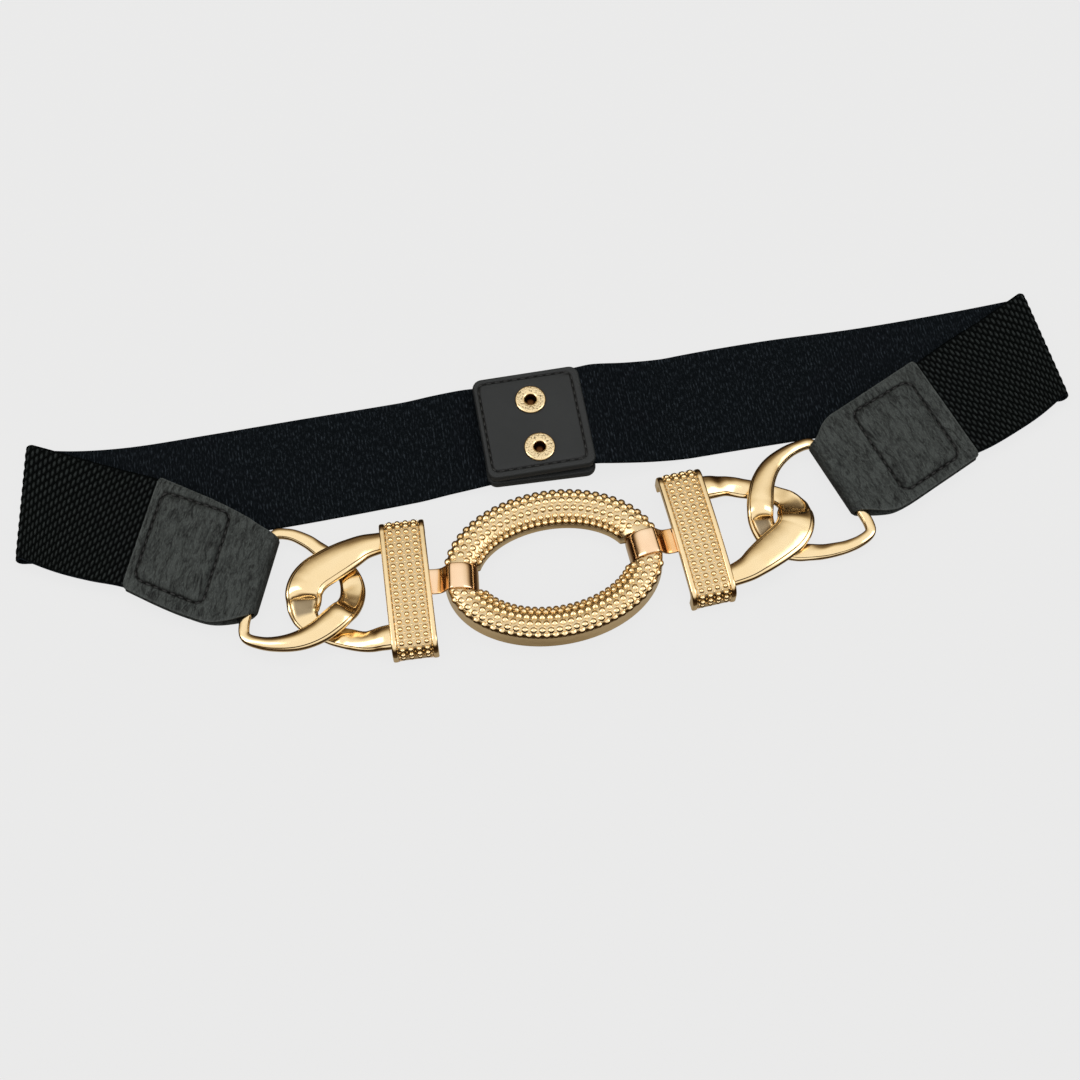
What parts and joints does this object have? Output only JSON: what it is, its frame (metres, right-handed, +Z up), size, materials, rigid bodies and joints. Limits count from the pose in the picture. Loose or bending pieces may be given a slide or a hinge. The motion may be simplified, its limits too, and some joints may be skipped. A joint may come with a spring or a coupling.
{
  "type": "chain belt",
  "caption": "Elastic waist belt laid flat as a closed loop: leather tabs, interlocked curb links, beaded plates and a beaded oval ring at the front, two leather patches with snaps at the back.",
  "frame": {"origin": "middle of the laid belt's box, on the surface that it lies on", "axes": "+X along the belt's long way as laid, +Z up, away from the surface"},
  "size_m": [0.3654, 0.1404, 0.0109],
  "materials": {
    "black_elastic": "matte ribbed elastic webbing",
    "charcoal_leather": "pebbled, creased, low sheen",
    "patch_leather": "smooth, matte",
    "gold_plate": "polished pale gold plating on a zinc casting",
    "rose_gold_plate": "polished rose gold plating on sheet steel"
  },
  "bodies": {
    "root": {"elastic_left": "black_elastic", "elastic_right": "black_elastic", "tab_left": "charcoal_leather", "tab_right": "charcoal_leather", "strap_link_left": "gold_plate", "strap_link_right": "gold_plate", "plate_link_left": "gold_plate", "plate_link_right": "gold_plate", "strip_hook_left": "rose_gold_plate", "strip_hook_right": "rose_gold_plate", "oval_ring": "gold_plate", "snap_patch_upper": "patch_leather", "snap_patch_lower": "patch_leather", "snap_ring_back": "gold_plate", "snap_cap_back": "gold_plate", "snap_ring_front": "gold_plate", "snap_cap_front": "gold_plate"}
  },
  "joints": []
}
